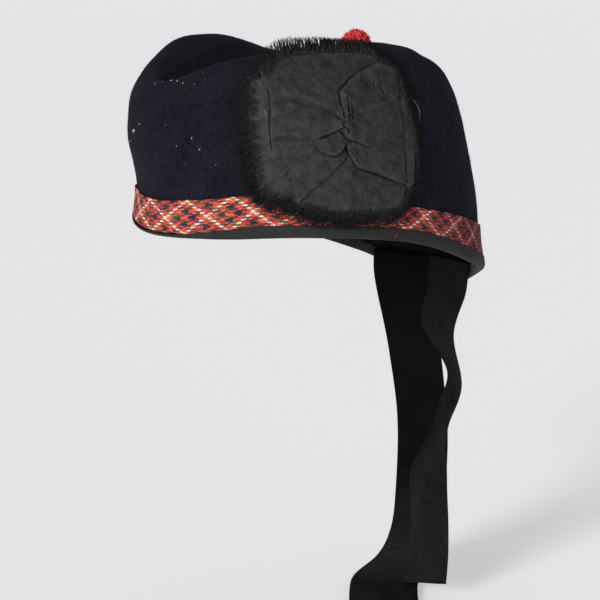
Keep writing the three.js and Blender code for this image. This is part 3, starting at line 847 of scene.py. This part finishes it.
def cockadeHeight(places):
    height = np.full(len(places), cockadeSpec["floor"])
    shadow = np.zeros(len(places))
    height += cockadeSpec["puff"] * np.exp(-((places / cockadeSpec["puffReach"]) ** 4).sum(axis=1))
    deep = np.column_stack([places, np.zeros(len(places))])
    wander = cockadeSpec["wander"] * ripple(deep, cockadeSpec["wanderSize"], 7)
    rollWidth, grooveWidth, lineWidth = (cockadeSpec[name] for name in ("roll", "groove", "line"))
    for fold in cockadeFolds:
        aside, along = besideFold(places, fold["line"])
        soft, reach = fold["soft"], fold["reach"]
        wide = soft * (1 + 0.4 * np.sin(11 * along + 3 * reach))
        strength = smoothStep(along, -0.001, fold["comes"] + 1e-6)
        strength = strength * smoothStep(1 - along, -0.001, fold["goes"] + 1e-6)
        aside = (aside + wander) * np.sign(fold["step"])
        upper, lower = np.maximum(aside, 0), np.maximum(-aside, 0)
        roll = np.sqrt(1 - (1 - np.clip(upper / (rollWidth * wide), 0, 1)) ** 2)
        cut = fold["cut"] * np.clip(1 - fold["loss"] * along, 0.3, 1.4)
        height += strength * abs(fold["step"]) * roll * np.exp(-upper / reach)
        groove = np.exp(-(lower / (grooveWidth * wide)) ** 1.4)
        height -= strength * cut * np.where(aside > 0, 1 - roll, groove)
        # painted shadow along the fold's line, darkening the colour beside the groove
        broken = 0.75 + 0.5 * np.sin(9 * along + 40 * reach) * np.sin(23 * along)
        dark = np.clip(0.50 * cut, 0, 1) / soft ** 0.7
        shadow += strength * broken * dark * np.exp(-((aside + 0.1 * wide) / (lineWidth * wide)) ** 2)
    for pleat in cockadePleats:
        aside, along = besideFold(places, pleat["line"])
        strength = np.sqrt(np.clip(np.sin(math.pi * np.clip(along, 0.02, 0.98)), 0, 1))
        height += strength * pleat["height"] * np.exp(-(aside / pleat["width"]) ** 2)
    for rippleHeight, size, seed in cockadeSpec["ripples"]:
        height += rippleHeight * ripple(deep, size, seed)
    return np.maximum(height, cockadeSpec["least"]), np.clip(shadow, 0, 1)


# from millimetres on the cockade to its place on the wall
outOfWall = cockadeSpec["outward"]
upward = (Vector((0, 0, 1)) - outOfWall * outOfWall.z).normalized()
backward = upward.cross(outOfWall)


def onCockadeWall(places):
    clear = outOfWall * (60 * mm)
    found = []
    for right, up in places:
        place = cockadeSpec["middle"] + backward * (right * mm) + upward * (up * mm)
        hit = feltTree.ray_cast(place + clear, -outOfWall)[0]
        found.append(hit if hit else feltTree.find_nearest(place)[0])
    return np.array(found)


# each cell of a grid becomes the mean of four cells some way off
def evenOut(grid, apart):
    edges = [(apart, apart), (apart, apart), (0, 0)][:grid.ndim]
    wide = np.pad(grid, edges, mode="edge")
    before, here, after = slice(None, -2 * apart), slice(apart, -apart), slice(2 * apart, None)
    return (wide[before, here] + wide[after, here] + wide[here, before] + wide[here, after]) / 4


cells = cockadeSpec["cells"]
cockade = addGrid("ribbonCockade", cells, cells)
square = corners(cockade)[:, :2]
edge = roundRing(np.array(cockadeSpec["edge"], float), np.linspace(0, 1, 721))
edgeTurn = np.unwrap(np.arctan2(edge[:, 1], edge[:, 0]))
edgeReach = np.linalg.norm(edge, axis=1)


def reachOf(turn):
    return np.interp(np.mod(turn - edgeTurn[0], fullTurn) + edgeTurn[0], edgeTurn, edgeReach)


turn = np.arctan2(square[:, 1], square[:, 0])
share = np.abs(square).max(axis=1)
reach = reachOf(turn) * share
flat = np.column_stack([np.cos(turn) * reach, np.sin(turn) * reach])
wall = onCockadeWall(flat)
wallGrid = wall.reshape(cells + 1, cells + 1, 3)
normals = unit(np.cross(np.gradient(wallGrid, axis=1), np.gradient(wallGrid, axis=0)))
for again in range(10):  # so that folds keep straight
    normals = unit(evenOut(normals, 3))
normals = normals.reshape(-1, 3)
lift, shadow = cockadeHeight(flat)
overBand = cockadeSpec["overBand"] * (1 - smoothStep(flat[:, 1], *cockadeSpec["bandTop"]))
edgeDrop = smoothStep(1 - share, 0, cockadeSpec["edgeShare"])
setCorners(cockade, wall + normals * ((overBand + lift * (0.25 + 0.75 * edgeDrop)) * mm)[:, None])
setPattern(cockade, *flat.T)
# worn pale along the edges, and paler on the crests of the folds, where this is partly rubbed wear and
# partly painted highlight
soft = lift.reshape(cells + 1, cells + 1)
for again in range(6):
    soft = evenOut(soft, 2)
crest = np.clip(cockadeSpec["crestWearAndHighlight"] * (lift - soft.ravel()), 0, cockadeSpec["crestMost"])
frontEdge = cockadeSpec["frontWear"] * smoothStep(-flat[:, 0], 31, 41) * smoothStep(flat[:, 1], -34, -20)
allRound = cockadeSpec["edgeWear"] * (1 - smoothStep(1 - share, 0, cockadeSpec["wornShare"]))
wearAndPaintedLight = np.clip(crest + frontEdge + allRound, 0, 1)
for name, values in (("wearAndPaintedLight", wearAndPaintedLight), ("shadow", shadow)):
    cockade.data.attributes.new(name, "FLOAT", "POINT").data.foreach_set("value", values)

# a coarser back lies on the wall, and the two are closed round the edge
backCells = cockadeSpec["backCells"]
backing = addGrid("cockadeBack", backCells, backCells)
step = np.arange(0, cells + 1, cells // backCells)
chosen = (step[:, None] * (cells + 1) + step[None, :]).ravel()
setCorners(backing, (wall + normals * (overBand * mm)[:, None])[chosen])
setPattern(backing, *flat[chosen].T)
enterEdit(backing)
bpy.ops.mesh.flip_normals()
leaveEdit()
pick(cockade)
backing.select_set(True)
bpy.ops.object.join()
enterEdit(cockade)
bpy.ops.mesh.select_mode(type="EDGE")
bpy.ops.mesh.select_all(action="DESELECT")
bpy.ops.mesh.select_non_manifold(use_wire=False, use_multi_face=False, use_non_contiguous=False,
                                 use_verts=False)
bpy.ops.mesh.bridge_edge_loops()
leaveEdit()

cockadeFinish, tree, shader = startFinish("charcoalTaffeta", 0.7, Specular_IOR_Level=0.12, Sheen_Weight=0.02)
uv, along, across = patternPlace(tree)
weft = humps(tree, along, math.pi / cockadeSpec["weft"])
warp = humps(tree, across, math.pi / cockadeSpec["warp"])
weave = maths(tree, "MULTIPLY", weft, warp)
grain = noiseOf(tree, uv, 1.1, 5.0, Roughness=0.7)
patches = noiseOf(tree, uv, 0.16, 4.0)
slubs = maths(tree, "ADD", *(noiseOf(tree, stretched(tree, uv, way), 1.0, 3.0)
                             for way in ((0.12, 1.7, 1), (1.7, 0.12, 1))))
tone = weighted(tree, (grain, 0.36), (patches, 0.34), (slubs, 0.15), (weave, 0.10))
cloth = colourRamp(tree, tone, [(0.40, cockadeSpec["dark"]), (0.66, cockadeSpec["light"])])
# paler where the cloth is worn and, on the crests of the folds, also a painted highlight
wearAndHighlightMask = maths(tree, "MULTIPLY", addNode(tree, "Attribute", attribute_name="wearAndPaintedLight").outputs["Fac"], grain)
cloth = mixColours(tree, wearAndHighlightMask, cloth, (*cockadeSpec["wearAndPaintedLight"], 1))
# painted shadow in the lines of the folds
foldShadow = addNode(tree, "Attribute", attribute_name="shadow").outputs["Fac"]
paint(tree, shader, mixColours(tree, foldShadow, cloth, (*cockadeSpec["shadow"], 1)))
relief = maths(tree, "ADD", weave, maths(tree, "ADD", grain, slubs))
addBump(tree, shader, relief, 0.7, 0.14 * mm)
finishPiece(cockade, cockadeFinish, "taffeta", "cockade")


# frayed edge: threads drawn out of the cockade's ribbon

fraySpec = {
    "threads": 5200,
    "tufts": 215,
    # by the side that a thread points to: its length, how far in it starts (millimetres), how tangled it is
    "sides": {
        "back": {"length": 4.6, "inset": 2.2, "tangle": 0.36},
        "top": {"length": 7.3, "inset": 2.4, "tangle": 0.05},
        "front": {"length": 8.4, "inset": 6.0, "tangle": 0.32},
        "foot": {"length": 7.8, "inset": 3.0, "tangle": 0.36},
    },
    # at the top, between these shares of up, the threads come to stand clear of the felt
    "combFrom": 0.62, "combTo": 0.85, "combUp": 0.75,
    # before the toorie they part into tufts, and half of them are short and fill the comb's foot
    "partFrom": -0.10, "partTo": 0.06, "short": 0.45,
    # how far tufts and single threads differ in length, lean and height
    "tuftLength": (0.62, 1.08), "tuftLean": 0.22,
    "ownLength": (0.55, 1.05), "combLength": (0.88, 1.02),
    "rise": (0.02, 0.34), "lift": (0.5, 1.2),
    "overBand": 1.8, "bandTop": (-31, -20),
    "thickness": 0.10,
    "root": (0.046, 0.046, 0.046),
    "tip": (0.0140, 0.0142, 0.0148),
}


# a side's figure, blended by the way that a thread points
def frayFigure(name, back, up):
    ways = {"back": back, "front": -back, "top": up, "foot": -up}
    return sum(max(way, 0) ** 2 * fraySpec["sides"][side][name] for side, way in ways.items())


threads = []
tufts = fraySpec["tufts"]
turns = np.array([random.random() * fullTurn for k in range(fraySpec["threads"])])
ways = np.column_stack([np.cos(turns), np.sin(turns)])
insets = np.array([random.uniform(-0.4, 1) ** 2 * frayFigure("inset", *way) for way in ways])
roots = ways * (reachOf(turns) - insets)[:, None]
rootsAt, beyondAt = onCockadeWall(roots), onCockadeWall(roots * 1.03)
tuftLengths = [random.uniform(*fraySpec["tuftLength"]) for k in range(tufts + 1)]
tuftLeans = [random.gauss(0, fraySpec["tuftLean"]) for k in range(tufts + 1)]
for k, turn in enumerate(turns):
    back, up = ways[k]
    comb = smoothStep(up, fraySpec["combFrom"], fraySpec["combTo"])
    gaps = comb * (1 - smoothStep(back, fraySpec["partFrom"], fraySpec["partTo"]))
    out = unit(beyondAt[k] - rootsAt[k])
    out = unit(out * (1 - fraySpec["combUp"] * comb) + np.array(upward) * fraySpec["combUp"] * comb)
    normal = np.array(feltTree.find_nearest(Vector(rootsAt[k]))[1])
    side = np.cross(normal, out)
    nearest = round(turn / fullTurn * tufts)
    tuft = nearest / tufts * fullTurn
    even = tuftLengths[nearest] * random.uniform(*fraySpec["ownLength"])
    short = fraySpec["short"] if gaps > 0.5 and random.random() < 0.5 else 0
    reach = frayFigure("length", back, up) * (1 - 0.14 * (comb - gaps)) * (1 - short)
    reach = reach * (1 + 0.1 * comb * smoothStep(-back, 0.25, 0.5))
    even = even + (random.uniform(*fraySpec["combLength"]) - even) * comb
    length = (reach * even + insets[k]) * mm
    tangle = frayFigure("tangle", back, up)
    lean = (0 if short else 0.7 - 0.6 * (comb - gaps)) * (tuft - turn) * reachOf(turn) * mm
    lean = lean + (random.gauss(0, tangle) + (1 - comb) * tuftLeans[nearest] - 0.16 * gaps) * length
    bend = random.gauss(0, 0.7 * tangle) * length
    rise = random.uniform(*fraySpec["rise"]) * length * (1 - 0.7 * comb)
    overBand = fraySpec["overBand"] * (1 - smoothStep(roots[k][1], *fraySpec["bandTop"]))
    lift = random.uniform(*fraySpec["lift"]) + 0.3 * insets[k] + overBand
    start = rootsAt[k] + normal * lift * mm
    line = [start,
            start + out * 0.4 * length + side * (0.3 * lean + bend) + normal * 0.5 * rise,
            start + out * 0.75 * length + side * (0.75 * lean + bend) + normal * 0.85 * rise,
            start + out * length + side * lean + normal * rise * random.uniform(0.3, 1.1)]
    thick = fraySpec["thickness"] * (1 + 0.25 * comb) * mm * random.uniform(0.7, 1.3)
    threads.append((line, (thick, thick, 0.9 * thick, 0.45 * thick)))
fray = addThreads("frayedEdge", threads)
frayFinish, tree, shader = startFinish("blackThread", 0.85, Specular_IOR_Level=0.08)
uneven = maths(tree, "SUBTRACT", noiseOf(tree, objectPlace(tree), 700.0, 2.0), 0.5)
tip = lifted(tree, addNode(tree, "Attribute", attribute_name="tip").outputs["Fac"], uneven, 1.8)
paint(tree, shader, colourRamp(tree, tip, [(0.10, fraySpec["root"]), (0.60, fraySpec["tip"])]))
finishPiece(fray, frayFinish, "frayed_edge", "cockade_fringe")

# a stray hair on the felt and a loose stitch, in millimetres on the cockade, with the height off the wall
strayHairs = [
    {"name": "hair behind the cockade", "thickness": 0.045,
     "line": [(44.5, 19, 0.8), (47.2, 13, 1.4), (46.8, 6, 0.7)]},
    {"name": "stitch", "thickness": 0.06,
     "line": [(-38.4, 13.2, 2.2), (-38.6, 11.8, 3.0), (-38.4, 10.2, 2.2)]},
    {"name": "end of the stitch", "thickness": 0.03,
     "line": [(-37.4, 29.2, 2.2), (-37.1, 30.6, 3.0), (-36.6, 31.8, 3.2)]},
]
threads = []
for hair in strayHairs:
    line = curveThrough(hair["line"], 12)
    line = onCockadeWall(line[:, :2]) + np.array(outOfWall) * line[:, 2:] * mm
    threads.append((line, [hair["thickness"] * mm] * len(line)))
strays = addThreads("strayHairs", threads)
finishPiece(strays, lintFinish, "felt")

# a loose end of red thread on the binding: millimetres to the back and up from where it lies
redEnd = {
    "at": (78.6, -7.3, 13.7),
    "hook": [(1.0, 0.9), (0.5, 0.1), (-0.2, -0.6), (-1.0, -0.9)],
    "lift": 0.25,
    "thickness": 0.17,
}
bindingTree = treeOf(binding)
line = []
for back, up in curveThrough(redEnd["hook"], 14):
    place = (Vector(redEnd["at"]) + Vector((0, back, up))) * mm
    hit, normal = bindingTree.find_nearest(place)[:2]
    line.append(hit + normal * redEnd["lift"] * mm)
redThread = addThreads("redThreadEnd", [(line, [redEnd["thickness"] * mm] * len(line))], sides=6)
finishPiece(redThread, threadFinish("redThread", [0.45 * part for part in bandSpec["red"]]), "tartan")


# toorie: a wool pompom in the crease

toorieSpec = {
    "size": 0.88,  # share of the part's ball
    "moved": (-0.3, -0.4, 3.3),
    "yarns": 420,
    "yarn": 0.85,  # half thickness in millimetres
    "yarnShape": (0.8, 1.0, 1.08, 0.95, 0.45),
    "fuzz": 500,
    "fuzzThickness": 0.05,
    "fuzzShape": (1, 1, 1, 0.9, 0.4),
    "along": (0.35, 0.55, 0.75, 0.9, 1.0),  # shares of the way out from the middle
    "offFelt": 0.4,
    "dark": (0.42, 0.016, 0.018),
    "light": (0.82, 0.070, 0.070),
}
goldenTurn = 2.39996
evenStep = 0.7548  # spreads the fuzz over all heights
ballLow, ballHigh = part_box("toorie")
radius = toorieSpec["size"] * (ballHigh - ballLow).z / 2
ball = np.array((ballLow + ballHigh) / 2) + np.array(toorieSpec["moved"]) * mm
threads = []
for k in range(toorieSpec["yarns"] + toorieSpec["fuzz"]):
    loose = k >= toorieSpec["yarns"]
    up = 1 - 2 * ((k * evenStep + 0.5) % 1 if loose else (k + 0.5) / toorieSpec["yarns"])
    turn = k * goldenTurn
    level = math.sqrt(1 - up * up)
    way = np.array([level * math.cos(turn), level * math.sin(turn), up])
    way = unit(way + np.array([random.gauss(0, 0.1) for axis in range(3)]))
    room = feltTree.ray_cast(Vector(ball), Vector(way))[3]
    length = radius * (random.uniform(0.96, 1.12) if loose else random.uniform(0.90, 1.0))
    length = min(length, (room - toorieSpec["offFelt"] * mm) if room else length)
    side = unit(np.cross(way, (0.3, 0.5, 0.8)))
    curl = random.gauss(0, 0.11) * radius
    line = [ball + way * length * share + side * curl * (share * share) for share in toorieSpec["along"]]
    thick = (toorieSpec["fuzzThickness"] if loose else toorieSpec["yarn"] * random.uniform(0.75, 1.15)) * mm
    shape = toorieSpec["fuzzShape" if loose else "yarnShape"]
    threads.append((line, [thick * part for part in shape]))
toorie = addThreads("woolToorie", threads, sides=6)
toorieFinish, tree, shader = startFinish("redWool", 0.9, Specular_IOR_Level=0.2, Sheen_Weight=0.25,
                                         Sheen_Tint=(1.0, 0.4, 0.4, 1))
strands = noiseOf(tree, objectPlace(tree), 1300.0, 4.0, Distortion=0.8)
paint(tree, shader, colourRamp(tree, strands, [(0.32, toorieSpec["dark"]), (0.66, toorieSpec["light"])]))
addBump(tree, shader, strands, 0.8, 0.25 * mm)
finishPiece(toorie, toorieFinish, "wool", "toorie")


# ribbon tails

tailSpec = {
    "halfWidth": 19.0,
    "cloth": 0.45 * mm,
    "along": 230,
    "across": 22,
    "slantFrom": 0.94,  # share of the length where the slanted end starts
    "waves": 0.55, "waveAcross": 2.2, "waveAlong": 0.028,
    "ribs": 0.5, "relief": 0.08 * mm,
}
# the route is the ribbon's middle in millimetres and the turn of its width in degrees, from the rim down.
# Painted light makes it paler along some of its length, towards its end, and a crease is a ridge that runs
# down it: shares of the length, places across it from -1 to 1, and its height.
leftRibbon = {
    "route": [(18.7, 86, -14.5, -10), (17.8, 85.9, -31, -11), (13.5, 84, -54, -16), (29, 83, -79, -32),
              (15.5, 85.5, -105, -30), (1.5, 88, -137.5, -11), (0.5, 88.5, -160, -13), (2.2, 86, -177, -14),
              (6.5, 80.5, -188.5, -14), (11.5, 74, -195.2, -13)],
    "slant": -8.4, "curl": 1.6, "seed": 2.3,
    "crease": {"shares": (0.42, 0.6, 0.68, 0.9, 1.0), "across": (0.9, 0.35, 0.14, -0.45, -0.7),
               "height": 5.0},
    "dark": (0.0030, 0.0030, 0.0031),
    "light": (0.0110, 0.0110, 0.0117),
    "paintedEndLight": {"from": 130, "to": 190, "gain": 1.7},
}
rightRibbon = {
    "route": [(-18.5, 86.3, -15.5, 13), (-18.5, 87.3, -33.5, 12), (-14.5, 93.5, -73, 7),
              (-12.5, 98, -114.5, 4), (-14.5, 99, -154, 4), (-17, 98.5, -178, 7), (-20, 93.5, -193.5, 18),
              (-21, 79, -201.5, 40), (-5, 62, -203, 48), (16, 44, -203.2, 48)],
    "slant": 6.0, "curl": 1.2, "seed": 8.1,
    "crease": None,
    # darker tones than the left tail's: painted shadow, for the shade that a wearer's head would cast on
    # this tail
    "dark": (0.0009, 0.0009, 0.0010),
    "light": (0.0042, 0.0042, 0.0045),
    "paintedEndLight": {"from": 120, "to": 205, "gain": 6.0},
}


def hangTail(name, node, ribbon):
    along, across = tailSpec["along"], tailSpec["across"]
    route = curveThrough(ribbon["route"], 4 * along)
    steps = wayAlong(route[:, :3])
    even = np.linspace(0, steps[-1], along + 1)
    route = np.column_stack([np.interp(even, steps, route[:, k]) for k in range(4)])
    middle, turn = route[:, :3], np.radians(route[:, 3])
    wide = np.column_stack([np.cos(turn), np.sin(turn), np.zeros(along + 1)])
    way = unit(np.gradient(middle, axis=0))
    face = unit(np.cross(way, wide))
    side = np.linspace(-1, 1, across + 1)
    share = np.linspace(0, 1, along + 1)[:, None]
    cut = side * ribbon["slant"] * smoothStep(share, tailSpec["slantFrom"], 1)
    waves = [[noise.noise(Vector((tailSpec["waveAcross"] * a, tailSpec["waveAlong"] * e, ribbon["seed"])))
              for a in side] for e in even]
    bow = ribbon["curl"] * (side ** 2 - 0.33) * np.sin(math.pi * np.clip(1.25 * share - 0.12, 0, 1))
    offset = bow + tailSpec["waves"] * np.array(waves) * smoothStep(share, 0.02, 0.12)
    crease = ribbon["crease"]
    if crease:
        ridge = np.interp(share, crease["shares"], crease["across"])
        fold = smoothStep(share, *crease["shares"][:2])
        offset = offset + fold * crease["height"] * (0.5 - np.abs(side - ridge))
    places = (middle[:, None] + wide[:, None] * (side * tailSpec["halfWidth"])[None, :, None]
              + way[:, None] * cut[..., None] + face[:, None] * offset[..., None])
    tail = addGrid(name, across, along)
    setCorners(tail, places * mm)
    setPattern(tail, even[:, None] + cut, side * tailSpec["halfWidth"])
    modify(tail, "SOLIDIFY", thickness=tailSpec["cloth"], offset=0)
    finish = ribbonFinish(name + "Ribbon", {**tailSpec, **ribbon}, 0.65, Specular_IOR_Level=0.03)
    finishPiece(tail, finish, "tail_ribbon", node)


hangTail("leftTail", "tail_left", leftRibbon)
hangTail("rightTail", "tail_right", rightRibbon)

# the part's box and the dressed box
bpy.context.view_layer.update()
low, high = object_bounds()
{"cad": [list(cadLow), list(cadHigh)], "visual": [list(low), list(high)]}
print("cad", [round(v, 4) for v in (*cadLow, *cadHigh)], "dressed", [round(v, 4) for v in (*low, *high)])
